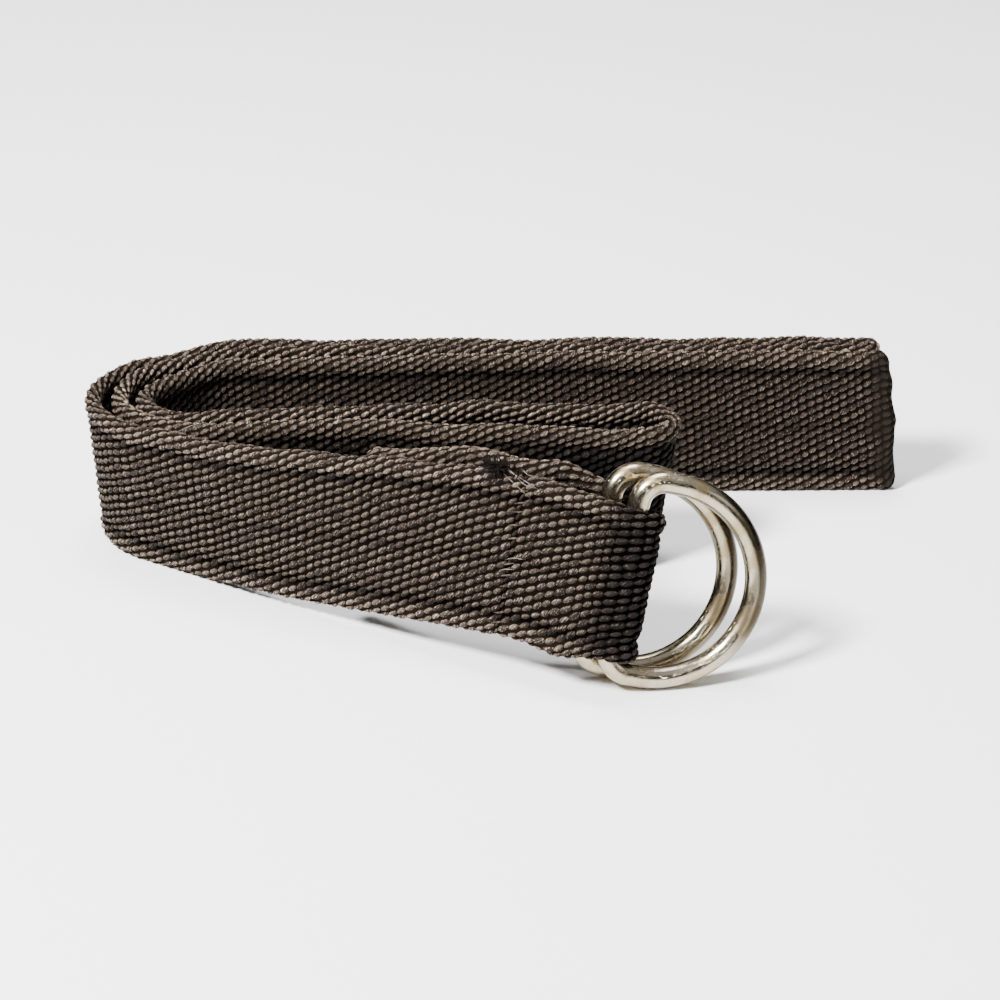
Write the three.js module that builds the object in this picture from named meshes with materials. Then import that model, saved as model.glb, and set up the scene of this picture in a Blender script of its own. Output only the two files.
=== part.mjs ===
import * as THREE from "three";

// Driving dimensions in millimetres. X runs along the folded belt, Y to the back, Z up.

// The webbing and the outline of its folds
const WEBBING_WIDTH = 38;
const FACE_THICKNESS = 3.2;
const CREASE_THICKNESS = 2.8;
const BEAD_THICKNESS = 3.8;
const BEAD_HEIGHT = 5;
const PLY_GAP = 0.3;
const FOLDED_LENGTH = 200;
const FOLDED_DEPTH = 125;
const HEM_LENGTH = 11;
const HEM_SWELL = 0.5;

// The rings
const WIRE = 5;
const RING_SIDE_CLEARANCE = 0.7;
const RING_STRAIGHT = 8;
const RING_CORNER = 5.5;
const RING_GAP = 0.5;
// Directions in plan in which the rings point, in degrees from X
const RING_HEADING = { front: 8, rear: 11 };
// How far the rear bar lies to the left of the front one, as a share of the wire
const BAR_STAGGER = 1.16;

// The loop round the bars. The slack is its distance from the front bar, the room what the rear
// bar has besides, and the dip how far its upper edge is pressed down.
const LOOP_SLACK = 0.4;
const LOOP_ROOM = 2;
const LOOP_DIP = 3.8;
// How far the top of the loop and of the bars leans to the right and to the back, for its height
const LOOP_TILT = { east: 0.21, north: 0.27 };
// Power of the share of the run over which the dip comes in
const DIP_ONSET = 8;

// The flap behind the front run, measured from the loop: its end, and the bend near the seam
const FLAP_LENGTH = 68;
const FLAP_PITCHES = 1.05;
const SEAM_DISTANCE = 34;
const SEAM_PITCHES = 1.3;

// Fineness of the bodies
const ARC_STEP = THREE.MathUtils.degToRad(20);
const RUN_STEP = 9;
const MOST_RUN_STEPS = 8;
const RING_SIDES = 12;
const RING_ARC_STEPS = 16;
const RING_CORNER_STEPS = 4;

const L = FOLDED_LENGTH;
const D = FOLDED_DEPTH;
const W = WEBBING_WIDTH;
const PITCH = BEAD_THICKNESS + PLY_GAP;

// One D-ring in its own frame: the bar stands on the Z axis and the round side points along X.
// The wire's centre line runs up the bar, round the bow and back.
const RING_RADIUS = W / 2 + RING_SIDE_CLEARANCE + WIRE / 2;

function ringCentreLine() {
  const corner = RING_CORNER;
  const flat = RING_STRAIGHT;
  const side = RING_RADIUS;
  const points = [];
  const arc = (cx, cz, radius, from, to, steps) => {
    for (let i = 0; i <= steps; i += 1) {
      const angle = from + ((to - from) * i) / steps;
      points.push(new THREE.Vector3(cx + radius * Math.cos(angle), 0, cz + radius * Math.sin(angle)));
    }
  };
  arc(corner, -side + corner, corner, -Math.PI, -Math.PI / 2, RING_CORNER_STEPS);
  arc(flat, 0, side, -Math.PI / 2, Math.PI / 2, RING_ARC_STEPS);
  arc(corner, side - corner, corner, Math.PI / 2, Math.PI, RING_CORNER_STEPS);
  return points;
}

// A body through closed rings of points. An open one is capped at both ends.
function loft(sections, closed) {
  const count = sections[0].length;
  const positions = sections.flat().flatMap((p) => [p.x, p.y, p.z]);
  const index = [];
  const last = closed ? sections.length : sections.length - 1;
  for (let i = 0; i < last; i += 1) {
    const a = i * count;
    const b = ((i + 1) % sections.length) * count;
    for (let k = 0; k < count; k += 1) {
      const next = (k + 1) % count;
      index.push(a + k, b + k, b + next);
      index.push(a + k, b + next, a + next);
    }
  }
  if (!closed) {
    const end = (sections.length - 1) * count;
    for (let k = 0; k < count / 2 - 1; k += 1) {
      const mirror = count - 1 - k;
      index.push(k, k + 1, mirror - 1);
      index.push(k, mirror - 1, mirror);
      index.push(end + k, end + mirror - 1, end + k + 1);
      index.push(end + k, end + mirror, end + mirror - 1);
    }
  }
  const geometry = new THREE.BufferGeometry();
  geometry.setAttribute("position", new THREE.Float32BufferAttribute(positions, 3));
  geometry.setIndex(index);
  geometry.computeVertexNormals();
  return geometry;
}

function ringGeometry() {
  const line = ringCentreLine();
  const side = new THREE.Vector3(0, 1, 0);
  const sections = line.map((point, i) => {
    const before = line[(i + line.length - 1) % line.length];
    const after = line[(i + 1) % line.length];
    const inward = new THREE.Vector3().subVectors(after, before).normalize().cross(side);
    const section = [];
    for (let k = 0; k < RING_SIDES; k += 1) {
      const angle = (2 * Math.PI * k) / RING_SIDES;
      section.push(
        point
          .clone()
          .addScaledVector(inward, (WIRE / 2) * Math.cos(angle))
          .addScaledVector(side, (WIRE / 2) * Math.sin(angle)),
      );
    }
    return section;
  });
  return loft(sections, true);
}

// Unit vectors of a tilted ring: up along its bar, and out from the bar to the bow
const BAR_UP = new THREE.Vector3(LOOP_TILT.east, LOOP_TILT.north, 1).normalize();

function ringAxes(headingDegrees) {
  const heading = THREE.MathUtils.degToRad(headingDegrees);
  const out = new THREE.Vector3(Math.cos(heading), Math.sin(heading), 0);
  out.addScaledVector(BAR_UP, -out.dot(BAR_UP)).normalize();
  const across = new THREE.Vector3().crossVectors(BAR_UP, out);
  return new THREE.Matrix4().makeBasis(out, across, BAR_UP);
}

// Height of a bar's middle over the ground when the ring's lowest point touches it
function barHeight(axes) {
  const out = new THREE.Vector3().setFromMatrixColumn(axes, 0);
  return RING_RADIUS * Math.hypot(out.z, BAR_UP.z) - RING_STRAIGHT * out.z + WIRE / 2;
}

const ringFrames = {
  front: ringAxes(RING_HEADING.front),
  rear: ringAxes(RING_HEADING.rear),
};
const BAR_MIDDLE = Math.max(barHeight(ringFrames.front), barHeight(ringFrames.rear));

// Places of the bars' middles in plan. The rear bar stands behind the plane of the front ring.
const frontBar = { x: 0.1375 * L, y: -0.398 * D };
const frontHeading = THREE.MathUtils.degToRad(RING_HEADING.front);
const rearBar = {
  x: frontBar.x - BAR_STAGGER * WIRE,
  y: frontBar.y + (WIRE + RING_GAP - BAR_STAGGER * WIRE * Math.sin(frontHeading)) / Math.cos(frontHeading),
};

// The webbing in plan, from its free end to the ring loop. Each row is a round fold that it runs
// round, and a turn of 1 is to the left. The tilt is that of its upright lines, the lift that of its
// lower edge and the dip that of its upper edge. The edges of a square fold lie in a plane square to
// the tilt. The bow is how far the run to the next fold bulges to its left, and bowAt is where it
// bulges most, as a share of the run.
const LEFT = -L / 2;
const REAR_Y = 0.472 * D;
const REAR_SLANT = 0.0125 * D;
const UPRIGHT = { east: 0, north: 0 };
const PLAIN = { tilt: UPRIGHT, lift: 0, square: false, dip: 0, bow: 0, bowAt: 0.5 };
const LOOP = { tilt: LOOP_TILT, lift: BAR_MIDDLE - (W / 2) * BAR_UP.z, square: true };
const BAR_TO_PLY = WIRE / 2 + LOOP_SLACK + BEAD_THICKNESS / 2;

const FOLDS = [
  { name: "free end", turn: 0, x: 0.4965 * L, y: REAR_Y - 1.5 * PITCH, radius: 0,
    tilt: { east: -0.09, north: 0 }, bow: -0.01 * D },
  { name: "inner bend, back", turn: 1, x: LEFT + 0.32 * D, y: 0.184 * D, radius: 0.192 * D },
  { name: "inner bend", turn: 1, x: LEFT + 0.198 * D, y: 0.2 * D, radius: 0.088 * D,
    bow: 0.02 * D, bowAt: 0.6 },
  { name: "front right fold", turn: -1, x: 0.157 * L, y: 0.0976 * D, radius: 0.058 * D,
    tilt: { east: 0.16, north: 0 }, bow: -0.022 * D, bowAt: 0.65 },
  { name: "middle bend", turn: -1, x: LEFT + 0.228 * D, y: 0.224 * D, radius: 0.167 * D },
  { name: "middle bend, back", turn: -1, x: LEFT + 0.352 * D,
    y: REAR_Y - PITCH / 2 - REAR_SLANT - 0.278 * D, radius: 0.278 * D },
  { name: "rear right fold", turn: 1, x: 0.4595 * L, y: REAR_Y, radius: PITCH / 2 },
  { name: "outer bend, back", turn: 1, x: LEFT + 0.33 * D,
    y: REAR_Y + PITCH / 2 - REAR_SLANT - 0.3 * D, radius: 0.3 * D },
  { name: "outer bend", turn: 1, x: LEFT + 0.207 * D, y: 0.238 * D, radius: 0.191 * D,
    tilt: { east: -0.05, north: -0.12 }, bow: -0.016 * D, bowAt: 0.35 },
  { name: "ring loop", turn: 1, ...frontBar, radius: BAR_TO_PLY, ...LOOP, dip: LOOP_DIP },
  { name: "ring loop, back", turn: 1, ...rearBar, radius: BAR_TO_PLY + LOOP_ROOM, ...LOOP },
].map((row) => ({ ...PLAIN, ...row }));

// The straight line from one fold to the next, as the points where it leaves and arrives
function tangent(from, to) {
  const dx = to.x - from.x;
  const dy = to.y - from.y;
  const start = from.turn * from.radius;
  const end = to.turn * to.radius;
  const heading = Math.atan2(dy, dx) - Math.asin((end - start) / Math.hypot(dx, dy));
  const left = { x: -Math.sin(heading), y: Math.cos(heading) };
  return {
    heading,
    leave: { x: from.x - start * left.x, y: from.y - start * left.y },
    arrive: { x: to.x - end * left.x, y: to.y - end * left.y },
  };
}

function lengthOf(run) {
  return Math.hypot(run.arrive.x - run.leave.x, run.arrive.y - run.leave.y);
}

// Lift of a fold's lower edge at a place in plan
function liftAt(fold, x, y) {
  const slope = fold.square ? fold.tilt : UPRIGHT;
  return fold.lift - slope.east * (x - fold.x) - slope.north * (y - fold.y);
}

const ease = (share) => share * share * (3 - 2 * share);
const mix = (a, b, share) => a + (b - a) * share;

// A station on the run between two folds, pushed to its left by an offset
function onRun(from, to, share, offset) {
  const run = tangent(from, to);
  const eased = ease(share);
  const startLift = liftAt(from, run.leave.x, run.leave.y);
  const endLift = liftAt(to, run.arrive.x, run.arrive.y);
  return {
    x: mix(run.leave.x, run.arrive.x, share) - offset * Math.sin(run.heading),
    y: mix(run.leave.y, run.arrive.y, share) + offset * Math.cos(run.heading),
    tilt: {
      east: mix(from.tilt.east, to.tilt.east, eased),
      north: mix(from.tilt.north, to.tilt.north, eased),
    },
    lift: mix(startLift, endLift, eased),
    dip: mix(from.dip, to.dip, share ** DIP_ONSET),
  };
}

// The flap goes back along the front run: it bends towards it near the seam and ends behind it.
const outerBend = FOLDS.find((fold) => fold.name === "outer bend");
const ringLoop = FOLDS.find((fold) => fold.name === "ring loop");
const frontRun = tangent(outerBend, ringLoop);
const frontLength = lengthOf(frontRun);
const SEAM_RADIUS = 0.8 * W;
const SEAM_RAISE = 0.1 * W;
const seamOffset = SEAM_PITCHES * PITCH + SEAM_RADIUS;
const seam = onRun(outerBend, ringLoop, 1 - SEAM_DISTANCE / frontLength, seamOffset);
const flapEnd = onRun(outerBend, ringLoop, 1 - FLAP_LENGTH / frontLength, FLAP_PITCHES * PITCH);
FOLDS.push(
  { ...PLAIN, name: "seam", turn: -1, ...seam, radius: SEAM_RADIUS, lift: seam.lift + SEAM_RAISE },
  { ...PLAIN, name: "flap end", turn: 0, ...flapEnd, radius: 0 },
);

// Stations along the webbing's centre line
function stations() {
  const list = [];
  for (let i = 0; i + 1 < FOLDS.length; i += 1) {
    const from = FOLDS[i];
    const to = FOLDS[i + 1];
    const run = tangent(from, to);
    const runSteps = Math.min(MOST_RUN_STEPS, Math.ceil(lengthOf(run) / RUN_STEP));
    for (let k = i === 0 ? 0 : 1; k < runSteps; k += 1) {
      const share = (1 - Math.cos((Math.PI * k) / runSteps)) / 2;
      const phase = Math.PI * share ** (Math.log(0.5) / Math.log(from.bowAt));
      const bulge = from.bow * Math.sin(phase) ** 2;
      list.push(onRun(from, to, share, bulge));
    }
    if (i + 2 === FOLDS.length) {
      list.push(onRun(from, to, 1, 0));
      break;
    }
    const next = tangent(to, FOLDS[i + 2]);
    let sweep = (next.heading - run.heading) * to.turn;
    sweep -= 2 * Math.PI * Math.floor(sweep / (2 * Math.PI));
    const steps = Math.max(1, Math.ceil(sweep / ARC_STEP));
    for (let k = 0; k <= steps; k += 1) {
      const heading = run.heading + (to.turn * sweep * k) / steps;
      const x = to.x + to.turn * to.radius * Math.sin(heading);
      const y = to.y - to.turn * to.radius * Math.cos(heading);
      list.push({ x, y, tilt: to.tilt, lift: liftAt(to, x, y), dip: to.dip });
    }
  }
  return list;
}

// Half of the webbing's section from an edge to the face: a flat foot, a bead, a crease and the face
const EDGE_PROFILE = [
  { rise: 0, half: 0.25 * BEAD_THICKNESS },
  { rise: 0.22 * BEAD_HEIGHT, half: 0.47 * BEAD_THICKNESS },
  { rise: 0.55 * BEAD_HEIGHT, half: 0.5 * BEAD_THICKNESS },
  { rise: BEAD_HEIGHT, half: 0.5 * CREASE_THICKNESS },
  { rise: 1.5 * BEAD_HEIGHT, half: 0.5 * FACE_THICKNESS },
];
const SIDE_PROFILE = [
  ...EDGE_PROFILE,
  ...EDGE_PROFILE.map((row) => ({ rise: W - row.rise, half: row.half })).reverse(),
];

function webbingGeometry() {
  const line = stations();
  let travelled = 0;
  const sections = line.map((station, i) => {
    const before = line[Math.max(0, i - 1)];
    const after = line[Math.min(line.length - 1, i + 1)];
    if (i > 0) {
      travelled += Math.hypot(station.x - before.x, station.y - before.y);
    }
    const along = new THREE.Vector3(after.x - before.x, after.y - before.y, 0).normalize();
    const up = new THREE.Vector3(station.tilt.east, station.tilt.north, 1).normalize();
    const left = new THREE.Vector3().crossVectors(up, along).normalize();
    const foot = EDGE_PROFILE[0].half;
    const middle = new THREE.Vector3(
      station.x,
      station.y,
      station.lift + (W / 2) * up.z + foot * Math.abs(left.z),
    );
    const swell = travelled < HEM_LENGTH ? HEM_SWELL / 2 : 0;
    const squeeze = 1 - station.dip / W;
    const point = (row, side) =>
      middle
        .clone()
        .addScaledVector(left, side * (row.half + swell))
        .addScaledVector(up, row.rise * squeeze - W / 2);
    return [
      ...SIDE_PROFILE.map((row) => point(row, -1)),
      ...SIDE_PROFILE.map((row) => point(row, 1)).reverse(),
    ];
  });
  return loft(sections, false);
}

// Materials
const canvas = new THREE.MeshStandardMaterial({ color: 0x3f342c, roughness: 0.95, metalness: 0 });
const frontSteel = new THREE.MeshStandardMaterial({ color: 0xb9b4a6, roughness: 0.28, metalness: 1 });
const rearSteel = frontSteel.clone();

const group = new THREE.Group();

const strap = new THREE.Mesh(webbingGeometry(), canvas);
strap.name = "strap";
group.add(strap);

for (const [name, bar, material] of [
  ["front", frontBar, frontSteel],
  ["rear", rearBar, rearSteel],
]) {
  const ring = new THREE.Mesh(ringGeometry(), material);
  ring.name = `d_ring_${name}`;
  ring.quaternion.setFromRotationMatrix(ringFrames[name]);
  ring.position.set(bar.x, bar.y, BAR_MIDDLE);
  group.add(ring);
}

// The origin is the middle of the outline in plan, on the ground.
group.updateMatrixWorld(true);
const box = new THREE.Box3().setFromObject(group, true);
const part = new THREE.Group();
group.position.set(-(box.min.x + box.max.x) / 2, -(box.min.y + box.max.y) / 2, -box.min.z);
part.add(group);

export default part;
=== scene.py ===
import math

import bpy
import numpy as np
from mathutils import Matrix, Vector


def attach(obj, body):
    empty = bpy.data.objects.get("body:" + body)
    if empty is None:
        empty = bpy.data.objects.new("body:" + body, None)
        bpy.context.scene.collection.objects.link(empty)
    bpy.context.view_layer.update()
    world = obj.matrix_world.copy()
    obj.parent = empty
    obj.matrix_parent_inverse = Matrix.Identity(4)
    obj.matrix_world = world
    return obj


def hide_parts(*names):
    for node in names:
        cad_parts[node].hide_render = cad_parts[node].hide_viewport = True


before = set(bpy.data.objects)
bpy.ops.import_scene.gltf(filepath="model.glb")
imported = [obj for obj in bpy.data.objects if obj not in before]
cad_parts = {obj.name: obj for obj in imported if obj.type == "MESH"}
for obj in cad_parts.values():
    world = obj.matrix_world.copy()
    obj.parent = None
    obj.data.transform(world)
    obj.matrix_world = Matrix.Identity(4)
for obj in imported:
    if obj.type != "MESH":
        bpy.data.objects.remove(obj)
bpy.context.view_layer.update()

MM = 0.001
random = np.random.default_rng(7)

# Sizes of the solids, in millimetres
WEBBING_WIDTH = 38.0
FACE_THICKNESS = 3.2
BEAD_THICKNESS = 3.8
PLY_GAP = 0.3
FOLDED_LENGTH = 200.0
FOLDED_DEPTH = 125.0
HEM_SWELL = 0.5
WIRE = 5.0
RING_SIDE_CLEARANCE = 0.7
RING_STRAIGHT = 8.0
RING_CORNER = 5.5
RING_GAP = 0.5
RING_HEADING = {"front": math.radians(8), "rear": math.radians(11)}
BAR_STAGGER = 1.16
LOOP_SLACK = 0.4
LOOP_ROOM = 2.0
LOOP_DIP = 3.8
LOOP_TILT = (0.21, 0.27)
DIP_ONSET = 8
FLAP_LENGTH = 68.0
FLAP_PITCHES = 1.05
SEAM_DISTANCE = 34.0
SEAM_PITCHES = 1.3
# Where the origin of the fold table lies in the frame
ORIGIN = np.array([-0.2644, -1.0715, 0.0008])

# Grooves beside the corded edges, and the shallow line along the middle
GROOVE_THICKNESS = 2.1
GROOVE_START = 2.9
GROOVE_HEIGHT = 5.3
GROOVE_TO_FACE = 2.2
MIDDLE_LINE_HEIGHT = 18.0
MIDDLE_LINE_WIDTH = 0.9
MIDDLE_LINE_DEPTH = 0.2

# Hem at the free end, and how far its last row bulges
HEM_LENGTH = 8.0
HEM_WANDER = 1.6
HEM_BULGE = 0.7

# Weave: pitch along the webbing, threads round it, and the slanted oval floats
WEFT_PITCH = 2.06
FRONT_STRETCH = 1.17
STRETCH_RUN = 45
WARP_COUNT = 76
FLOAT_LENGTH = 2.45
FLOAT_WIDTH = 1.38
FLOAT_SLANT = math.radians(37)
FLOAT_RISE = 0.55
GROUND_SINK = 0.3
EDGE_WANDER = 0.35

# Seam before the ring loop, the drooping lower edge there, and the lower flap
SEAM_LINE = 24.9
SEAM_LINE_DEPTH = 0.4
LOOP_DROOP = 1.8
LOOP_DROOP_BEFORE = 9
LOOP_DROOP_SPREAD = 7
FLAP_DROP = 2.6
FLAP_DROP_AFTER = 4
FLAP_DROP_SPREAD = 17

# Fineness of the webbing's mesh
SAMPLES_ALONG = 5
SAMPLES_ROUND = 2
STRAP_PIECES = 5

# Short names for the fold table, and sizes worked out from the ones above
L = FOLDED_LENGTH
D = FOLDED_DEPTH
W = WEBBING_WIDTH
PITCH = BEAD_THICKNESS + PLY_GAP
RING_RADIUS = W / 2 + RING_SIDE_CLEARANCE + WIRE / 2
BAR_UP = Vector((LOOP_TILT[0], LOOP_TILT[1], 1)).normalized()


def ring_axes(heading):
    """Axes of a ring: out from its bar to the bow, across it, and up along the bar"""
    out = Vector((math.cos(heading), math.sin(heading), 0))
    out = (out - out.dot(BAR_UP) * BAR_UP).normalized()
    across = BAR_UP.cross(out)
    return Matrix((out, across, BAR_UP)).transposed()


RING_FRAMES = {name: ring_axes(heading) for name, heading in RING_HEADING.items()}
BAR_MIDDLE = max(
    RING_RADIUS * math.hypot(axes[2][0], BAR_UP.z) - RING_STRAIGHT * axes[2][0] + WIRE / 2
    for axes in RING_FRAMES.values()
)

front_bar = (0.1375 * L, -0.398 * D)
front_heading = RING_HEADING["front"]
bar_step = WIRE + RING_GAP - BAR_STAGGER * WIRE * math.sin(front_heading)
rear_bar = (front_bar[0] - BAR_STAGGER * WIRE, front_bar[1] + bar_step / math.cos(front_heading))
BARS = {"front": front_bar, "rear": rear_bar}

# The webbing in plan, one row per round fold, as in the solids
LEFT = -L / 2
REAR_Y = 0.472 * D
REAR_SLANT = 0.0125 * D
LOOP_LIFT = BAR_MIDDLE - W / 2 * BAR_UP.z
BAR_TO_PLY = WIRE / 2 + LOOP_SLACK + BEAD_THICKNESS / 2


def fold(name, turn, x, y, radius, tilt=(0, 0), lift=0.0, square=False, dip=0.0, bow=0.0, bow_at=0.5):
    return {"name": name, "turn": turn, "x": x, "y": y, "radius": radius, "tilt": tilt,
            "lift": lift, "square": square, "dip": dip, "bow": bow, "bow_at": bow_at}


FOLDS = [
    fold("free end", 0, 0.4965 * L, REAR_Y - 1.5 * PITCH, 0, tilt=(-0.09, 0), bow=-0.01 * D),
    fold("inner bend, back", 1, LEFT + 0.32 * D, 0.184 * D, 0.192 * D),
    fold("inner bend", 1, LEFT + 0.198 * D, 0.2 * D, 0.088 * D, bow=0.02 * D, bow_at=0.6),
    fold("front right fold", -1, 0.157 * L, 0.0976 * D, 0.058 * D, tilt=(0.16, 0),
         bow=-0.022 * D, bow_at=0.65),
    fold("middle bend", -1, LEFT + 0.228 * D, 0.224 * D, 0.167 * D),
    fold("middle bend, back", -1, LEFT + 0.352 * D, REAR_Y - PITCH / 2 - REAR_SLANT - 0.278 * D, 0.278 * D),
    fold("rear right fold", 1, 0.4595 * L, REAR_Y, PITCH / 2),
    fold("outer bend, back", 1, LEFT + 0.33 * D, REAR_Y + PITCH / 2 - REAR_SLANT - 0.3 * D, 0.3 * D),
    fold("outer bend", 1, LEFT + 0.207 * D, 0.238 * D, 0.191 * D, tilt=(-0.05, -0.12),
         bow=-0.016 * D, bow_at=0.35),
    fold("ring loop", 1, *front_bar, BAR_TO_PLY, tilt=LOOP_TILT, lift=LOOP_LIFT, square=True, dip=LOOP_DIP),
    fold("ring loop, back", 1, *rear_bar, BAR_TO_PLY + LOOP_ROOM, tilt=LOOP_TILT, lift=LOOP_LIFT,
         square=True),
]


def tangent(a, b):
    """Heading of the straight run between two folds, and its two ends"""
    dx, dy = b["x"] - a["x"], b["y"] - a["y"]
    start, end = a["turn"] * a["radius"], b["turn"] * b["radius"]
    heading = math.atan2(dy, dx) - math.asin((end - start) / math.hypot(dx, dy))
    side = (-math.sin(heading), math.cos(heading))
    leave = (a["x"] - start * side[0], a["y"] - start * side[1])
    arrive = (b["x"] - end * side[0], b["y"] - end * side[1])
    return heading, leave, arrive


def run_length(a, b):
    _, leave, arrive = tangent(a, b)
    return math.dist(leave, arrive)


def lift_at(f, x, y):
    """Lift of a fold's lower edge at a place in plan"""
    east, north = f["tilt"] if f["square"] else (0, 0)
    return f["lift"] - east * (x - f["x"]) - north * (y - f["y"])


def smooth(t):
    t = np.clip(t, 0, 1)
    return t * t * (3 - 2 * t)


def on_run(a, b, share, offset):
    """Stations on the run between two folds, as columns x, y, east, north, lift, dip"""
    heading, leave, arrive = tangent(a, b)
    share = np.asarray(share, float)
    eased = smooth(share)
    x = leave[0] + (arrive[0] - leave[0]) * share - offset * math.sin(heading)
    y = leave[1] + (arrive[1] - leave[1]) * share + offset * math.cos(heading)
    lift = lift_at(a, *leave) * (1 - eased) + lift_at(b, *arrive) * eased
    east = a["tilt"][0] * (1 - eased) + b["tilt"][0] * eased
    north = a["tilt"][1] * (1 - eased) + b["tilt"][1] * eased
    dip = a["dip"] + (b["dip"] - a["dip"]) * share**DIP_ONSET
    return np.stack(np.broadcast_arrays(x, y, east, north, lift, dip), axis=-1)


def named(name):
    return next(f for f in FOLDS if f["name"] == name)


outer_bend, ring_loop = named("outer bend"), named("ring loop")
front_length = run_length(outer_bend, ring_loop)
SEAM_RADIUS = 0.8 * W
SEAM_RAISE = 0.1 * W
seam_at = on_run(outer_bend, ring_loop, 1 - SEAM_DISTANCE / front_length, SEAM_PITCHES * PITCH + SEAM_RADIUS)
end_at = on_run(outer_bend, ring_loop, 1 - FLAP_LENGTH / front_length, FLAP_PITCHES * PITCH)
FOLDS += [
    fold("seam", -1, seam_at[0], seam_at[1], SEAM_RADIUS, tilt=tuple(seam_at[2:4]),
         lift=seam_at[4] + SEAM_RAISE, dip=seam_at[5]),
    fold("flap end", 0, end_at[0], end_at[1], 0, tilt=tuple(end_at[2:4]), lift=end_at[4], dip=end_at[5]),
]


def centre_line(step):
    """Stations along the webbing, evenly spaced, and how far along it each fold begins"""
    parts = []
    begins = {}
    travelled = 0.0
    for a, b, c in zip(FOLDS, FOLDS[1:], FOLDS[2:] + [None]):
        heading, leave, arrive = tangent(a, b)
        count = max(8, int(run_length(a, b) / 0.25))
        share = np.linspace(0, 1, count, endpoint=False)
        phase = np.pi * share ** (math.log(0.5) / math.log(a["bow_at"]))
        parts.append(on_run(a, b, share, a["bow"] * np.sin(phase) ** 2))
        travelled += run_length(a, b)
        begins[b["name"]] = travelled
        if c is None:
            parts.append(on_run(a, b, [1.0], 0))
            continue
        sweep = ((tangent(b, c)[0] - heading) * b["turn"]) % (2 * math.pi)
        travelled += sweep * b["radius"]
        count = max(4, int(sweep * b["radius"] / 0.25))
        angle = heading + b["turn"] * np.linspace(0, sweep, count, endpoint=False)
        x = b["x"] + b["turn"] * b["radius"] * np.sin(angle)
        y = b["y"] - b["turn"] * b["radius"] * np.cos(angle)
        rest = [np.full_like(x, value) for value in (*b["tilt"], b["dip"])]
        parts.append(np.stack([x, y, rest[0], rest[1], lift_at(b, x, y), rest[2]], 1))
    rows = np.concatenate(parts)
    run = np.concatenate([[0], np.cumsum(np.linalg.norm(np.diff(rows[:, :2], axis=0), axis=1))])
    places = np.linspace(0, run[-1], int(round(run[-1] / step)) + 1)
    return places, np.stack([np.interp(places, run, column) for column in rows.T], 1), begins


def half_thickness(v):
    """Half of the thickness at a height: a round corded edge, a groove beside it and the face"""
    v = np.minimum(v, W - v)
    bead = BEAD_THICKNESS / 2
    cap = bead * np.sqrt(np.clip(1 - (1 - np.clip(v / bead, 0, 1)) ** 2, 0, 1))
    into_groove = smooth((v - GROOVE_START) / (GROOVE_HEIGHT - GROOVE_START))
    out_of_groove = smooth((v - GROOVE_HEIGHT) / GROOVE_TO_FACE)
    body = bead + (GROOVE_THICKNESS / 2 - bead) * into_groove
    body = body + (FACE_THICKNESS - GROOVE_THICKNESS) / 2 * out_of_groove
    return np.minimum(cap, body)


def section_outline(count):
    """Points round the section, evenly spaced: girth so far, side offset, height and outward normal"""
    v = W / 2 * (1 - np.cos(np.linspace(0, np.pi, 4001)))
    line_dent = MIDDLE_LINE_DEPTH * np.exp(-((v - MIDDLE_LINE_HEIGHT) / MIDDLE_LINE_WIDTH) ** 2)
    half = half_thickness(v) - line_dent
    w = np.concatenate([-half, half[::-1][1:-1]])
    v = np.concatenate([v, v[::-1][1:-1]])
    w, v = np.append(w, w[0]), np.append(v, v[0])
    q = np.concatenate([[0], np.cumsum(np.hypot(np.diff(w), np.diff(v)))])
    at = np.linspace(0, q[-1], count, endpoint=False)
    w, v = np.interp(at, q, w), np.interp(at, q, v)
    dw = np.roll(w, -1) - np.roll(w, 1)
    dv = np.roll(v, -1) - np.roll(v, 1)
    size = np.hypot(dw, dv)
    return q[-1], w, v, -dv / size, dw / size


def wave_noise(x, y, seed):
    """Gentle noise between about -1 and 1 with a wavelength of about 1"""
    total = 0.0
    for k in range(5):
        angle = 2.4 * k + seed
        pace = 2 * math.pi * (0.7 + 0.17 * k)
        total = total + np.sin(pace * (math.cos(angle) * x + math.sin(angle) * y) + 1.7 * k * seed)
    return total / 2.5


# Stations along and points round the webbing
along, line, fold_begins = centre_line(WEFT_PITCH / SAMPLES_ALONG)
ring_count = WARP_COUNT * SAMPLES_ROUND
girth, side_w, height_v, out_w, out_v = section_outline(ring_count)
row_pitch = girth / WARP_COUNT
length = along[-1]

# Weave coordinates: floats along the yarn and rows round the webbing, with a slight wander. The
# weave is wider on the front run.
bend_end = fold_begins["outer bend"]
stretch = 1 + (FRONT_STRETCH - 1) * smooth((along - bend_end) / STRETCH_RUN)
cells = np.concatenate([[0], np.cumsum(np.diff(along) / (2 * WEFT_PITCH * stretch[1:]))])
seam_place = fold_begins["ring loop"] - SEAM_LINE
cells += 0.3 * smooth((along - seam_place) / 1.2 + 0.5)
rows_round = np.arange(ring_count) / SAMPLES_ROUND
cell_grid = cells[:, None] + 0.05 * wave_noise(along[:, None] / 9, height_v[None, :] / 7, 1.3)
row_grid = rows_round[None, :] + 0.13 * wave_noise(along[:, None] / 12, height_v[None, :] / 9, 2.9)


def cell_chance(i, j, seed):
    """A steady random number for each float"""
    n = np.sin(i * 127.1 + j * 311.7 + seed * 74.7) * 43758.5453
    return n - np.floor(n)


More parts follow.
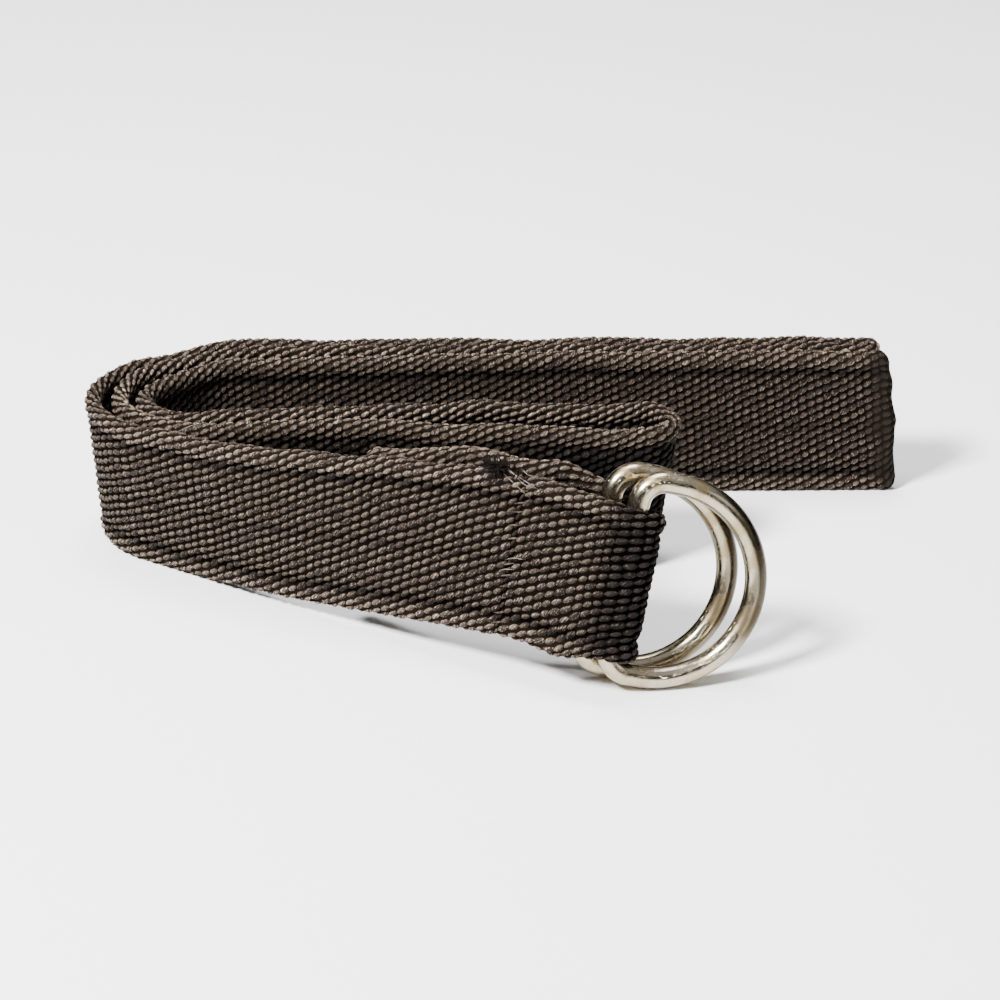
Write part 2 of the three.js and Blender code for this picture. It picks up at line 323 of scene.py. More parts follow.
def float_height(cell, row):
    """Rise of the slanted oval floats, which lie in rows shifted by half a cell"""
    best = np.zeros(cell.shape)
    for shift in (0, 1):
        b = cell - 0.5 * shift
        r = (row - shift) / 2
        i, j = np.round(b), np.round(r)
        du = (b - i) * 2 * WEFT_PITCH
        dq = (r - j) * 2 * row_pitch
        a = du * math.cos(FLOAT_SLANT) + dq * math.sin(FLOAT_SLANT)
        c = dq * math.cos(FLOAT_SLANT) - du * math.sin(FLOAT_SLANT)
        e = (2 * a / FLOAT_LENGTH) ** 2 + (2 * c / FLOAT_WIDTH) ** 2
        bump = np.sqrt(np.clip(1 - e, 0, 1)) * (0.85 + 0.3 * cell_chance(i, 2 * j + shift, 5))
        best = np.maximum(best, bump)
    return best


# Frames along the webbing
ahead = np.gradient(line[:, :2], axis=0)
ahead /= np.linalg.norm(ahead, axis=1)[:, None]
up = np.stack([line[:, 2], line[:, 3], np.ones(len(line))], 1)
up /= np.linalg.norm(up, axis=1)[:, None]
left = np.cross(up, np.concatenate([ahead, np.zeros((len(line), 1))], 1))
left /= np.linalg.norm(left, axis=1)[:, None]
foot = BEAD_THICKNESS / 4 * np.abs(left[:, 2])
middle = np.stack([line[:, 0], line[:, 1], line[:, 4] + W / 2 * up[:, 2] + foot], 1) + ORIGIN
flap_middle = fold_begins["seam"] + FLAP_DROP_AFTER
middle[:, 2] -= FLAP_DROP * np.exp(-((along - flap_middle) / FLAP_DROP_SPREAD) ** 2)
squeeze = 1 - line[:, 5] / W

# The two ends of the webbing are rounded off, and the free end is a thicker, smoother hem.
from_end = np.minimum(along, length - along)
END_ROUND = 1.9
CORNER_ROUND = 3.2
thinning = np.sqrt(np.clip(1 - (1 - np.clip(from_end / END_ROUND, 0.02, 1)) ** 2, 0, 1))
corner = CORNER_ROUND * (1 - np.sqrt(np.clip(1 - (1 - np.clip(from_end / CORNER_ROUND, 0, 1)) ** 2, 0, 1)))
hem_reach = HEM_LENGTH + HEM_WANDER * wave_noise(height_v / 8, 0 * height_v, 3.3)
hem = smooth((hem_reach[None, :] - along[:, None]) / 5)
hem_swell = HEM_SWELL / 2 * smooth((HEM_LENGTH - along) / 5)

# The seam is a dent across the front run, and the lower edge droops before the loop.
seam_tone = np.exp(-((along - seam_place) / 0.8) ** 2)
relief = FLOAT_RISE * float_height(cell_grid, row_grid) - GROUND_SINK
relief = relief * (1 - 0.75 * hem) - SEAM_LINE_DEPTH * seam_tone[:, None]
height_share = height_v / W
low_share = 1 - 2 * height_share
edge_wander = EDGE_WANDER * wave_noise(along / 17, 0 * along, 4.1) * np.clip(from_end / 20, 0, 1)
droop_middle = fold_begins["ring loop"] - LOOP_DROOP_BEFORE
droop = LOOP_DROOP * np.exp(-((along - droop_middle) / LOOP_DROOP_SPREAD) ** 2)
w = (side_w[None, :] * thinning[:, None] + out_w[None, :] * relief * thinning[:, None]
     + np.sign(side_w)[None, :] * (hem_swell * thinning)[:, None])
v = (height_v[None, :] * squeeze[:, None] + out_v[None, :] * relief
     + corner[:, None] * low_share[None, :]
     + edge_wander[:, None] * smooth(height_share * 1.4 - 0.4)[None, :]
     - droop[:, None] * (1 - smooth(height_share * 2.2))[None, :] - W / 2)
points = middle[:, None, :] + left[:, None, :] * w[:, :, None] + up[:, None, :] * v[:, :, None]
end_bulge = HEM_BULGE * np.exp(-((height_v - 19) / 2.6) ** 2)
end_bulge += 0.35 * wave_noise(height_v / 11, 0 * height_v, 2.2)
points[:, :, 0] += smooth((4 - along) / 4)[:, None] * end_bulge[None, :]
points[:, :, 2] = np.maximum(points[:, :, 2], 0.03)


def make_object(name, verts, faces):
    """An object from points in millimetres and blocks of faces"""
    mesh = bpy.data.meshes.new(name)
    mesh.vertices.add(len(verts))
    mesh.vertices.foreach_set("co", np.ascontiguousarray(verts * MM, np.float32).ravel())
    corners = np.concatenate([block.ravel() for block in faces]).astype(np.int32)
    sizes = np.concatenate([np.full(len(block), block.shape[1]) for block in faces])
    mesh.loops.add(len(corners))
    mesh.loops.foreach_set("vertex_index", corners)
    mesh.polygons.add(len(sizes))
    starts = np.concatenate([[0], np.cumsum(sizes)[:-1]]).astype(np.int32)
    mesh.polygons.foreach_set("loop_start", starts)
    mesh.polygons.foreach_set("use_smooth", np.ones(len(sizes), bool))
    mesh.update(calc_edges=True)
    mesh.validate()
    obj = bpy.data.objects.new(name, mesh)
    bpy.context.scene.collection.objects.link(obj)
    return obj


def add_attribute(obj, name, values):
    layer = obj.data.attributes.new(name, "FLOAT_VECTOR", "POINT")
    layer.data.foreach_set("vector", np.ascontiguousarray(values, np.float32).ravel())


def tube_faces(rows, columns):
    """Quads of an open tube whose rings have a number of columns, facing out"""
    i = np.arange(rows - 1)[:, None] * columns
    k = np.arange(columns)[None, :]
    after = (k + 1) % columns
    return np.stack([i + k, i + columns + k, i + columns + after, i + after], -1).reshape(-1, 4)


def cap_faces(rows, columns):
    """Triangles that close a tube at its two ends, in strips between its two sides"""
    k = np.arange(columns // 2)
    near = np.stack([k, k + 1, columns - k - 1], 1)
    far = np.stack([k[1:], columns - k[1:] - 1, columns - k[1:]], 1)
    start = np.concatenate([near, far])
    return np.concatenate([start, start[:, ::-1] + (rows - 1) * columns])


# Painted shade in the grooves beside the corded edges, a darker middle line, painted light on the corded
# edges, and the hem
edge_distance = np.minimum(height_v, W - height_v)
painted_groove_shade = np.exp(-((edge_distance - GROOVE_HEIGHT) / 1.0) ** 2)
line_tone = 0.55 * np.exp(-((height_v - MIDDLE_LINE_HEIGHT) / 0.8) ** 2)
# Painted light: the corded edges are painted lighter, as where light catches them.
painted_edge_light = smooth((4.8 - edge_distance) / 1.6)

# Painted shade: the cloth is painted darker where it turns round the rings' bars, and deep in the front right
# fold.
TURN_PAINTED_SHADE = 1.1
FOLD_PAINTED_SHADE = 1.25
turn_start = fold_begins["ring loop"] - 7.6
turn_end = fold_begins["ring loop, back"] + 5.2
painted_turn_shade = smooth((along - turn_start) / 9) * smooth((turn_end - along) / 6)
fold_start = fold_begins["front right fold"]
fold_end = fold_begins["middle bend"] - 0.5
painted_fold_shade = smooth((along - fold_start) / 4) * smooth((fold_end - along) / 20)
painted_fold_shade_depth = smooth((W - 4.5 - height_v) / 3)


def strap_piece(name, first, last):
    """The webbing between two stations, closed at both ends"""
    block = points[first:last + 1]
    rows = len(block)
    total = rows * ring_count
    obj = make_object(name, block.reshape(-1, 3), [tube_faces(rows, ring_count), cap_faces(rows, ring_count)])
    ends = np.zeros(len(obj.data.vertices), bool)
    ends[:ring_count] = True
    ends[total - ring_count:total] = True
    edge_ends = np.zeros(2 * len(obj.data.edges), np.int32)
    obj.data.edges.foreach_get("vertices", edge_ends)
    sharp = ends[edge_ends.reshape(-1, 2)].all(1)
    obj.data.edges.foreach_set("use_edge_sharp", sharp)
    window = slice(first, last + 1)
    heights = np.broadcast_to(height_v, (rows, ring_count))
    weave = np.stack([cell_grid[window], row_grid[window], heights], -1).reshape(-1, 3)
    # Painted shade in the grooves, with the darker middle line and seam line; then painted shade round the
    # bars and deep in the fold
    dark = np.maximum(np.maximum(painted_groove_shade, line_tone)[None, :], 0.7 * seam_tone[window, None])
    dark = np.maximum(dark, TURN_PAINTED_SHADE * painted_turn_shade[window, None])
    dark = np.maximum(dark, FOLD_PAINTED_SHADE * painted_fold_shade[window, None] * painted_fold_shade_depth[None, :])
    tones = np.stack(np.broadcast_arrays(dark, painted_edge_light[None, :], hem[window]), -1)
    add_attribute(obj, "weave", weave)
    add_attribute(obj, "tones", tones)
    return obj


cuts = np.linspace(0, len(along) - 1, STRAP_PIECES + 1).astype(int)
strap_objects = [strap_piece(f"webbing_{k + 1}", cuts[k], cuts[k + 1]) for k in range(STRAP_PIECES)]
for obj, first, last in zip(strap_objects, cuts, cuts[1:]):
    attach(obj, "strap")
    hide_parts("strap")


def ring_line(count):
    """Points evenly spaced on a ring's centre line, and how far round they are"""
    corner, flat, side = RING_CORNER, RING_STRAIGHT, RING_RADIUS
    arcs = [
        (corner, -side + corner, corner, -math.pi, -math.pi / 2, 40),
        (flat, 0, side, -math.pi / 2, math.pi / 2, 400),
        (corner, side - corner, corner, math.pi / 2, math.pi, 40),
    ]
    pieces = []
    for cx, cz, radius, first, last, steps in arcs:
        angle = np.linspace(first, last, steps)
        pieces.append(np.stack([cx + radius * np.cos(angle), 0 * angle, cz + radius * np.sin(angle)], 1))
    path = np.concatenate([*pieces, pieces[0][:1]])
    run = np.concatenate([[0], np.cumsum(np.linalg.norm(np.diff(path, axis=0), axis=1))])
    spots = np.linspace(0, run[-1], count, endpoint=False)
    return np.stack([np.interp(spots, run, column) for column in path.T], 1), spots


RING_STEPS = 320
RING_SIDES = 30


def ring_piece(which):
    """A ring of round wire at rest, front or rear, with its place round and across the wire"""
    path, spots = ring_line(RING_STEPS)
    way = np.roll(path, -1, 0) - np.roll(path, 1, 0)
    way /= np.linalg.norm(way, axis=1)[:, None]
    across = np.array([0.0, 1.0, 0.0])
    inward = np.cross(way, across)
    angle = np.linspace(0, 2 * np.pi, RING_SIDES, endpoint=False)
    spread = np.cos(angle)[None, :, None] * inward[:, None, :] + np.sin(angle)[None, :, None] * across
    local = (path[:, None, :] + WIRE / 2 * spread).reshape(-1, 3)
    place = np.array([*BARS[which], BAR_MIDDLE]) + ORIGIN
    verts = local @ np.array(RING_FRAMES[which]).T + place
    i = np.arange(RING_STEPS)[:, None]
    k = np.arange(RING_SIDES)[None, :]
    j = (i + 1) % RING_STEPS
    after = (k + 1) % RING_SIDES
    quads = [i * RING_SIDES + k, j * RING_SIDES + k, j * RING_SIDES + after, i * RING_SIDES + after]
    obj = make_object(f"ring_{which}", verts, [np.stack(quads, -1).reshape(-1, 4)])
    wide = np.broadcast_arrays(spots[:, None], WIRE / 2 * np.cos(angle), WIRE / 2 * np.sin(angle))
    add_attribute(obj, "metal", np.stack(wide, -1).reshape(-1, 3))
    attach(obj, f"ring_{which}")
    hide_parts(f"d_ring_{which}")
    return obj


ring_objects = {which: ring_piece(which) for which in ("front", "rear")}


# Threads and loose fibres lie on the webbing. A side of -1 is the front of the front run.
def surface(place, height, side, out):
    """Points over the cloth at places along it, heights over its lower edge and distances out"""
    place, height = np.asarray(place, float), np.asarray(height, float)

    def at(values):
        return np.stack([np.interp(place, along, column) for column in values.T], -1)

    off = side * (half_thickness(height) + out)
    rise = height * np.interp(place, along, squeeze) - W / 2
    return at(middle) + at(left) * off[..., None] + at(up) * rise[..., None]


THREAD_SIDES = 4


def thread_object(name, paths, radius):
    """One mesh of thin closed tubes along paths, with thin tips"""
    verts, faces = [], []
    base = 0
    for path in paths:
        rows = len(path)
        way = np.gradient(path, axis=0)
        way /= np.linalg.norm(way, axis=1)[:, None]
        side = np.cross(way, [0.31, 0.52, 0.79])
        side /= np.linalg.norm(side, axis=1)[:, None]
        other = np.cross(side, way)
        angle = np.linspace(0, 2 * np.pi, THREAD_SIDES, endpoint=False)
        taper = radius * np.clip(4 * np.minimum(np.arange(rows), np.arange(rows)[::-1]) / rows, 0.35, 1)
        ring = np.cos(angle)[:, None] * side[:, None, :] + np.sin(angle)[:, None] * other[:, None, :]
        verts.append((path[:, None, :] + taper[:, None, None] * ring).reshape(-1, 3))
        quads = tube_faces(rows, THREAD_SIDES)
        faces += [quads[:, [0, 1, 2]] + base, quads[:, [0, 2, 3]] + base, cap_faces(rows, THREAD_SIDES) + base]
        base += rows * THREAD_SIDES
    verts = np.concatenate(verts)
    obj = make_object(name, verts, faces)
    add_attribute(obj, "fibre", verts)
    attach(obj, "strap")
    return obj


def curved_path(points, steps):
    """A smooth path through a few points"""
    points = np.asarray(points, float)
    run = np.concatenate([[0], np.cumsum(np.linalg.norm(np.diff(points, axis=0), axis=1))])
    at = np.linspace(0, run[-1], steps)
    path = np.stack([np.interp(at, run, column) for column in points.T], 1)
    for _ in range(2):
        path[1:-1] = (path[:-2] + 2 * path[1:-1] + path[2:]) / 4
    return path


loop_place = fold_begins["ring loop"]

# Stitches across the seam on the front of the front run
stitches = []
for height in np.arange(3.0, 36.0, 2.9):
    half = 1.5 + 0.35 * random.uniform(-1, 1)
    places = seam_place + np.linspace(-half, half, 9)
    heights = height + 0.5 * random.uniform(-1, 1) + np.linspace(-0.4, 0.4, 9)
    stitches.append(surface(places, heights, -1, -0.25 + 0.45 * np.sin(np.linspace(0, np.pi, 9))))
seam_stitches = thread_object("seam_stitches", stitches, 0.22)

# Loose ends of sewing thread: rows of distance before the loop, height and distance out
LOOSE_ENDS = [
    [(25.9, 18.0, 0.1), (24.2, 18.9, 0.45), (20.7, 19.1, 0.15)],
    [(26.8, 15.4, 0.1), (25.0, 16.1, 0.4), (23.0, 16.2, 0.1)],
    [(33.0, 39.4, -0.6), (30.0, 38.6, 0.5), (25.4, 37.4, 0.5), (20.2, 35.6, 0.3)],
    [(32.0, 39.9, -0.8), (28.6, 38.4, 0.7), (24.0, 36.0, 0.45), (21.6, 35.9, 0.3)],
    [(27.0, 39.3, -0.5), (24.4, 38.2, 0.7), (22.2, 38.4, 0.9)],
    [(31.5, 38.2, 0.4), (27.0, 36.3, 0.5), (22.5, 33.2, 0.35)],
]
loose = []
for rows in LOOSE_ENDS:
    distance, height, out = np.array(rows).T
    loose.append(curved_path(surface(loop_place - distance, height, -1, out), 14))
HAIR_DISTANCE = 114.8
hair_start = surface(loop_place - HAIR_DISTANCE, 38.4, -1, 0.0)
hair = hair_start + np.array([(0, 0, 0), (2.2, 0.5, 1.1), (4.8, 1.4, 1.7), (7.4, 2.6, 1.7)])
loose.append(curved_path(hair, 14))
loose_threads = thread_object("loose_threads", loose, 0.08)


def tuft(count, place, height, side, reach, upward):
    """Short bent fibres round a place on the webbing"""
    paths = []
    for _ in range(count):
        start = surface(place + random.normal(0, 1.3), height + random.uniform(-0.8, 0.6), side, -0.6)
        way = random.normal(0, 1, 3) + np.array([0, 0, upward])
        way *= reach * random.uniform(0.5, 1) / np.linalg.norm(way)
        bend = random.normal(0, 0.3 * reach, 3)
        t = np.linspace(0, 1, 6)[:, None]
        paths.append(start + way * t + bend * t * t)
    return paths


# The frayed threads at the top of the seam, between the front run and the flap
frayed = tuft(150, seam_place - 7.0, 38.3, 1, 3.2, 0.9) + tuft(40, seam_place - 1.5, 37.6, 1, 2.0, 0.6)
frayed += tuft(90, seam_place - 6.4, 36.4, -1, 2.0, 0.2)
thread_tuft = thread_object("thread_tuft", frayed, 0.2)

# Short fibres stand off the edges of the webbing.
FUZZ_COUNT = 520
fuzz = []
for place in random.uniform(3, length - 3, FUZZ_COUNT):
    side = random.choice([-1, 1])
    height = W - abs(random.normal(0, 2.2))
    start = surface(place, height, side, -0.1)
    way = random.normal(0, 0.55, 3) + np.array([0, 0, 0.55])
    t = np.linspace(0, 1, 5)[:, None]
    fuzz.append(start + random.uniform(0.7, 1.5) * (way * t + random.normal(0, 0.4, 3) * t * t))
edge_fuzz = thread_object("edge_fuzz", fuzz, 0.028)


class Nodes:
    """A material and short ways to add nodes to it"""

    def __init__(self, name):
        self.material = bpy.data.materials.new(name)
        self.material.use_nodes = True
        self.tree = self.material.node_tree
        self.shader = self.tree.nodes["Principled BSDF"]

    def node(self, kind, inputs, **settings):
        made = self.tree.nodes.new(kind)
        for key, value in settings.items():
            setattr(made, key, value)
        for key, value in inputs.items():
            if isinstance(value, bpy.types.NodeSocket):
                self.tree.links.new(value, made.inputs[key])
            else:
                made.inputs[key].default_value = value
        return made

    def math(self, operation, a, b=0.0, c=0.0):
        return self.node("ShaderNodeMath", {0: a, 1: b, 2: c}, operation=operation).outputs[0]

    def blend(self, factor, a, b):
        return self.node("ShaderNodeMix", {0: factor, 2: a, 3: b}).outputs[0]

    def mix(self, factor, a, b, kind="MIX"):
        """Two colours mixed, each an output or red, green and blue"""
        a, b = [(*colour, 1) if isinstance(colour, tuple) else colour for colour in (a, b)]
        settings = {"data_type": "RGBA", "blend_type": kind}
        return self.node("ShaderNodeMix", {0: factor, 6: a, 7: b}, **settings).outputs[2]

    def scale(self, colour, amount):
        """A colour made lighter or darker by a number"""
        grey = self.node("ShaderNodeCombineXYZ", {0: amount, 1: amount, 2: amount}).outputs[0]
        return self.mix(1.0, colour, grey, "MULTIPLY")

    def level(self, value, low, high, bottom=0.0, top=1.0):
        """Smooth step of a value between two levels"""
        inputs = {0: value, 1: low, 2: high, 3: bottom, 4: top}
        return self.node("ShaderNodeMapRange", inputs, interpolation_type="SMOOTHSTEP").outputs[0]

    def split(self, vector):
        return self.node("ShaderNodeSeparateXYZ", {0: vector}).outputs

    def join(self, x, y, z):
        return self.node("ShaderNodeCombineXYZ", {0: x, 1: y, 2: z}).outputs[0]

    def attribute(self, name):
        return self.node("ShaderNodeAttribute", {}, attribute_name=name).outputs["Vector"]

    def noise(self, vector, scale, detail=2.0, roughness=0.5):
        inputs = {"Vector": vector, "Scale": scale, "Detail": detail, "Roughness": roughness}
        return self.node("ShaderNodeTexNoise", inputs).outputs[0]

    def set(self, **values):
        """Set the shader's inputs, with _ for a space in a name"""
        for name, value in values.items():
            socket = self.shader.inputs[name.replace("_", " ")]
            if isinstance(value, bpy.types.NodeSocket):
                self.tree.links.new(value, socket)
            else:
                socket.default_value = value

    def bump(self, height, distance, strength=1.0):
        inputs = {"Height": height, "Distance": distance, "Strength": strength}
        return self.node("ShaderNodeBump", inputs).outputs[0]


def float_nodes(m, cell, row, shift):
    """Height of the slanted oval floats in every second row, place in the float, and its number"""
    b = m.math("SUBTRACT", cell, 0.5 * shift)
    r = m.math("MULTIPLY", m.math("SUBTRACT", row, shift), 0.5)
    i, j = m.math("ROUND", b), m.math("ROUND", r)
    du = m.math("MULTIPLY", m.math("SUBTRACT", b, i), 2 * WEFT_PITCH)
    dq = m.math("MULTIPLY", m.math("SUBTRACT", r, j), 2 * row_pitch)
    cosine, sine = math.cos(FLOAT_SLANT), math.sin(FLOAT_SLANT)
    a = m.math("ADD", m.math("MULTIPLY", du, cosine), m.math("MULTIPLY", dq, sine))
    c = m.math("SUBTRACT", m.math("MULTIPLY", dq, cosine), m.math("MULTIPLY", du, sine))
    e = m.math("ADD", m.math("POWER", m.math("ABSOLUTE", m.math("MULTIPLY", a, 2 / FLOAT_LENGTH)), 2.0),
               m.math("POWER", m.math("ABSOLUTE", m.math("MULTIPLY", c, 2 / FLOAT_WIDTH)), 2.0))
    place = m.join(i, j, float(shift))
    chance = m.node("ShaderNodeTexWhiteNoise", {"Vector": place}, noise_dimensions="3D").outputs["Value"]
    e = m.math("MULTIPLY", e, m.math("MULTIPLY_ADD", chance, 0.55, 0.7))
    height = m.math("SQRT", m.math("MAXIMUM", m.math("SUBTRACT", 1.0, e), 0.0))
    return height, a, c, chance


# Colours of the cloth and the rings, as linear red, green and blue
DARK_YARN = (0.016, 0.0115, 0.0085)
# The light yarn colour is partly the fibres' own colour and partly painted glint.
LIGHT_YARN_AND_GLINT = (0.40, 0.31, 0.235)
PURPLE_TINT = (0.93, 0.89, 1.0)
# The ground between floats is the yarn beneath, painted nearly black as shade in the gaps.
DARK_GROUND_SHADE = (0.0015, 0.001, 0.0008)
LIGHT_GROUND_SHADE = (0.010, 0.0073, 0.0053)
HEM_COLOUR = (0.0095, 0.007, 0.0052)
SCRATCH_COLOUR = (0.3, 0.27, 0.22)
# A painted reflection of dark surroundings on the rings' bows
DARK_REFLECTION_COLOUR = (0.024, 0.017, 0.0105)

# Painted light and shade: how much lighter or darker the faces, the corded edges and the deepest grooves are
# painted
FACE_PAINTED_SHADE = 0.92
EDGE_PAINTED_LIGHT = 1.75
GROOVE_PAINTED_SHADE = 0.1


def canvas_material():
    """Light flecks, partly painted glints, on raised floats over dark ground painted as shade, with painted
    shade in the grooves, painted light on the corded edges, and a darker hem
    """
    m = Nodes("canvas")
    weave = m.attribute("weave")
    cell, row, _ = m.split(weave)
    # Painted shade and the darker lines, painted light on the corded edges, and the hem
    groove, edge, hem_tone = m.split(m.attribute("tones"))
    even, odd = float_nodes(m, cell, row, 0), float_nodes(m, cell, row, 1)
    upper = m.math("GREATER_THAN", odd[0], even[0])
    height, a, c, chance = [m.blend(upper, x, y) for x, y in zip(even, odd)]
    twist = m.math("ADD", m.math("MULTIPLY", c, 3.8), m.math("MULTIPLY", a, -1.8))
    fibre = m.noise(m.join(m.math("MULTIPLY", a, 1.4), twist, m.math("MULTIPLY", chance, 50.0)), 1.0, 3.0, 0.7)
    # Light flecks along the fibres: partly yarn colour, partly painted glints.
    fleck_and_glint = m.level(fibre, 0.54, 0.64)
    patches = m.noise(weave, 0.22, 2.0)
    # Painted light: the upper side of each float lighter and the lower side darker.
    painted_top_light = m.level(c, -0.55, 0.5, 0.3, 1.0)
    light = m.math("ADD", m.math("MULTIPLY", chance, 0.2), m.math("MULTIPLY", fleck_and_glint, 0.8))
    yarn = m.mix(light, DARK_YARN, LIGHT_YARN_AND_GLINT)
    yarn = m.scale(yarn, painted_top_light)
    yarn = m.mix(m.level(patches, 0.45, 0.7), yarn, m.mix(1.0, yarn, PURPLE_TINT, "MULTIPLY"))
    # Painted shade: the ground between the floats is nearly black, as the gaps are in shade.
    ground_noise = m.noise(m.join(m.math("MULTIPLY", cell, 9.0), row, 0.0), 3.0, 3.0, 0.6)
    ground = m.mix(ground_noise, DARK_GROUND_SHADE, LIGHT_GROUND_SHADE)
    colour = m.mix(m.level(height, 0.0, 0.85), ground, yarn)
    # Painted light: the corded edges lighter than the faces.
    colour = m.scale(colour, m.blend(edge, FACE_PAINTED_SHADE, EDGE_PAINTED_LIGHT))
    # Painted shade in the grooves, round the bars and deep in the fold, with the darker middle and seam lines
    colour = m.scale(colour, m.blend(m.math("MULTIPLY", groove, 0.8), 1.0, GROOVE_PAINTED_SHADE))
    colour = m.mix(m.math("MULTIPLY", hem_tone, 0.9), colour, HEM_COLOUR)
    m.set(Base_Color=colour, Roughness=0.75, Specular_IOR_Level=m.math("MULTIPLY", height, 0.12))
    relief_height = m.math("ADD", m.math("MULTIPLY", height, 0.5), m.math("MULTIPLY", fibre, 0.6))
    m.set(Normal=m.bump(relief_height, MM))
    return m.material


# How far round a ring its outermost point is, from the start of the lower corner
BOW_MIDDLE = RING_CORNER * math.pi / 2 + (RING_STRAIGHT - RING_CORNER) + RING_RADIUS * math.pi / 2


REFLECTION_ABOVE_MIDDLE = 6


def metal_material(name, tint, tarnish):
    """Worn plated steel with streaks, tarnished smudges, scratches and a painted dark reflection"""
    m = Nodes(name)
    place = m.attribute("metal")
    stretched = m.node("ShaderNodeVectorMath", {0: place, 1: (0.3, 4.5, 4.5)}, operation="MULTIPLY").outputs[0]
    streaks = m.noise(stretched, 1.0, 4.0, 0.65)
    smudge = m.level(m.noise(place, 0.13, 3.0, 0.6), 0.47, 0.66)
    scratch = m.level(m.noise(stretched, 2.4, 2.0, 0.5), 0.62, 0.68)
    base = m.mix(smudge, tint, tarnish)
    base = m.mix(m.math("MULTIPLY", scratch, 0.45), base, SCRATCH_COLOUR)
    # Painted reflection: a dark band on the outer side of the bow, a little above its middle
    spot, inward, _ = m.split(place)
    inward = m.math("ADD", inward, m.math("MULTIPLY_ADD", streaks, 0.8, -0.4))
    band = m.math("MULTIPLY", m.level(inward, -2.45, -2.15), m.level(inward, -0.5, 0.3, 1.0, 0.0))
    apart = m.math("ABSOLUTE", m.math("SUBTRACT", spot, BOW_MIDDLE + REFLECTION_ABOVE_MIDDLE))
    band = m.math("MULTIPLY", band, m.level(apart, 11, 24, 1.0, 0.0))
    base = m.mix(m.math("MULTIPLY", band, 0.92), base, DARK_REFLECTION_COLOUR)
    rough = m.math("ADD", m.math("MULTIPLY", streaks, 0.14), m.math("MULTIPLY", smudge, 0.12))
    m.set(Base_Color=base, Metallic=1.0, Roughness=m.math("ADD", rough, 0.12))
    m.set(Normal=m.bump(m.math("ADD", streaks, scratch), 0.00004, 0.5))
    return m.material


def fibre_material(name, dark, light):
    """Thread or fibre whose colour changes along it"""
    m = Nodes(name)
    along_it = m.noise(m.attribute("fibre"), 1.4, 3.0, 0.6)
    m.set(Base_Color=m.mix(m.level(along_it, 0.35, 0.65), dark, light))
    m.set(Roughness=0.85, Specular_IOR_Level=0.08, Normal=m.bump(along_it, 0.0001, 0.6))
    return m.material


canvas = canvas_material()
for obj in strap_objects:
    obj.data.materials.append(canvas)
front_steel = metal_material("front_steel", (0.42, 0.37, 0.275), (0.34, 0.27, 0.155))
rear_steel = metal_material("rear_steel", (0.38, 0.33, 0.24), (0.31, 0.24, 0.135))
ring_objects["front"].data.materials.append(front_steel)
ring_objects["rear"].data.materials.append(rear_steel)
dark_thread = fibre_material("dark_thread", (0.0025, 0.002, 0.0016), (0.012, 0.009, 0.007))
light_thread = fibre_material("light_thread", (0.08, 0.065, 0.05), (0.27, 0.23, 0.19))
brown_thread = fibre_material("brown_thread", (0.014, 0.0105, 0.008), (0.10, 0.076, 0.058))
seam_stitches.data.materials.append(brown_thread)
loose_threads.data.materials.append(light_thread)
thread_tuft.data.materials.append(dark_thread)
edge_fuzz.data.materials.append(brown_thread)

# Floor, light and camera
FLOOR_SIZE = 3.0
corners = [(-1, -1), (1, -1), (1, 1), (-1, 1)]
floor = bpy.data.objects.new("floor", bpy.data.meshes.new("floor"))
floor.data.from_pydata([(x * FLOOR_SIZE, y * FLOOR_SIZE, 0) for x, y in corners], [], [(0, 1, 2, 3)])
bpy.context.scene.collection.objects.link(floor)
floor_look = Nodes("floor")
floor_look.set(Base_Color=(0.94, 0.94, 0.94, 1), Roughness=0.85, Specular_IOR_Level=0.1)
floor.data.materials.append(floor_look.material)

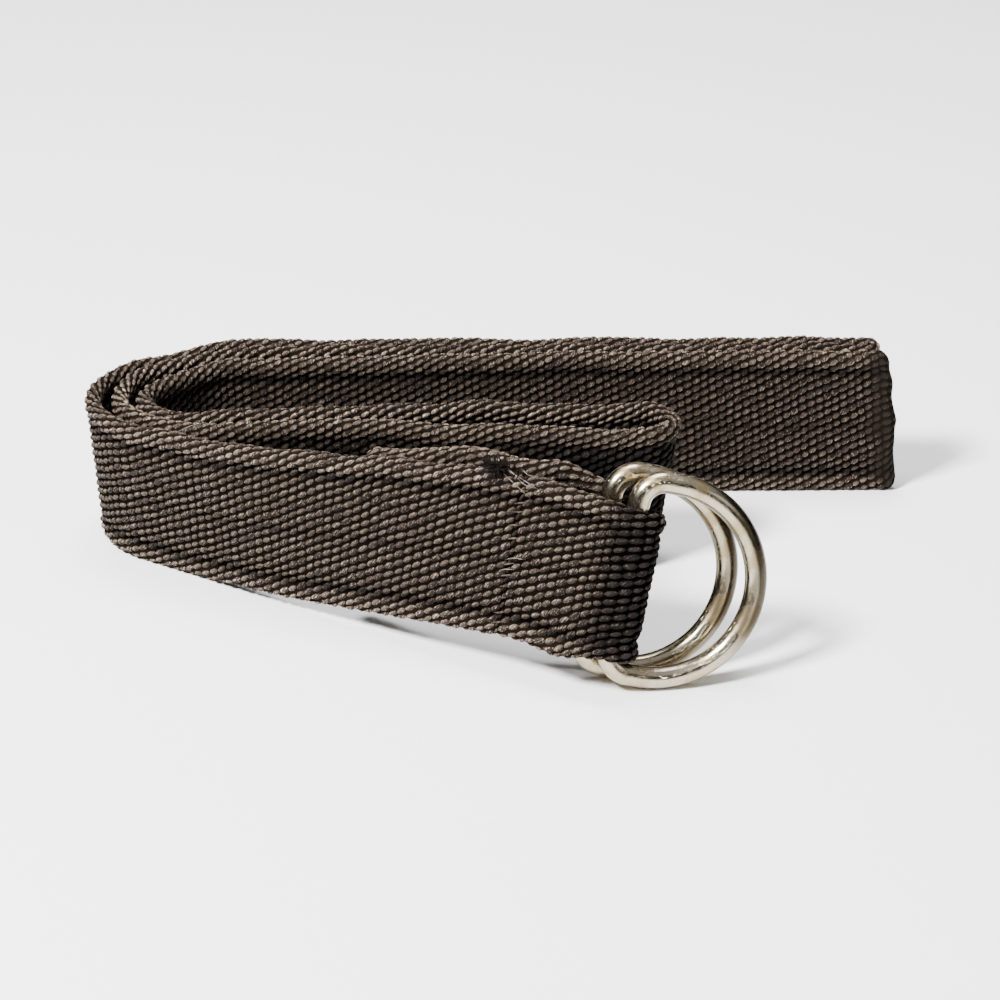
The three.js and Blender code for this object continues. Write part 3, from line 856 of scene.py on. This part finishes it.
# The sky is dark near the horizon and bright overhead: height and brightness of each step.
SKY = [(0.0, 0.10), (0.15, 0.03), (0.5, 0.06), (0.72, 0.9), (1.0, 1.0)]
SKY_STRENGTH = 0.65
world = bpy.data.worlds.new("studio")
world.use_nodes = True
nodes, links = world.node_tree.nodes, world.node_tree.links
direction = nodes.new("ShaderNodeTexCoord").outputs["Generated"]
parts = nodes.new("ShaderNodeSeparateXYZ")
links.new(direction, parts.inputs[0])
sky = nodes.new("ShaderNodeValToRGB")
links.new(parts.outputs["Z"], sky.inputs[0])
for _ in SKY[2:]:
    sky.color_ramp.elements.new(0.5)
for element, (place, value) in zip(sky.color_ramp.elements, SKY):
    element.position = place
    element.color = (value, value, value, 1)
links.new(sky.outputs[0], nodes["Background"].inputs["Color"])
nodes["Background"].inputs["Strength"].default_value = SKY_STRENGTH
bpy.context.scene.world = world


def area_light(name, place, aim, size, power):
    """A rectangular lamp at a place in metres, turned to its aim"""
    data = bpy.data.lights.new(name, "AREA")
    data.shape = "RECTANGLE"
    data.size, data.size_y = size
    data.energy = power
    lamp = bpy.data.objects.new(name, data)
    lamp.location = place
    lamp.rotation_euler = (Vector(aim) - Vector(place)).to_track_quat("-Z", "Y").to_euler()
    bpy.context.scene.collection.objects.link(lamp)


MIDDLE = (0, 0, 0.02)
area_light("key", (-0.6, -0.5, 0.95), MIDDLE, (0.26, 0.26), 60)
area_light("fill", (0.9, -0.6, 0.45), MIDDLE, (0.5, 0.5), 1.6)
area_light("top", (-0.05, 0.25, 1.0), MIDDLE, (0.5, 0.4), 13)

# The camera looks down on the belt at the photo's angle.
SENSOR_WIDTH = 36
LENS_RATIO = 3.16
CAMERA_DISTANCE = 0.8
ELEVATION = math.radians(25)
TARGET = Vector((-0.264, 44.432, 0)) * MM
camera_data = bpy.data.cameras.new("camera")
camera_data.sensor_width = SENSOR_WIDTH
camera_data.lens = SENSOR_WIDTH * LENS_RATIO
camera_data.clip_start = 0.01
camera_data.clip_end = 20
camera = bpy.data.objects.new("camera", camera_data)
camera.location = TARGET + Vector((0, -math.cos(ELEVATION), math.sin(ELEVATION))) * CAMERA_DISTANCE
camera.rotation_euler = (TARGET - camera.location).to_track_quat("-Z", "Y").to_euler()
bpy.context.scene.collection.objects.link(camera)
bpy.context.scene.camera = camera
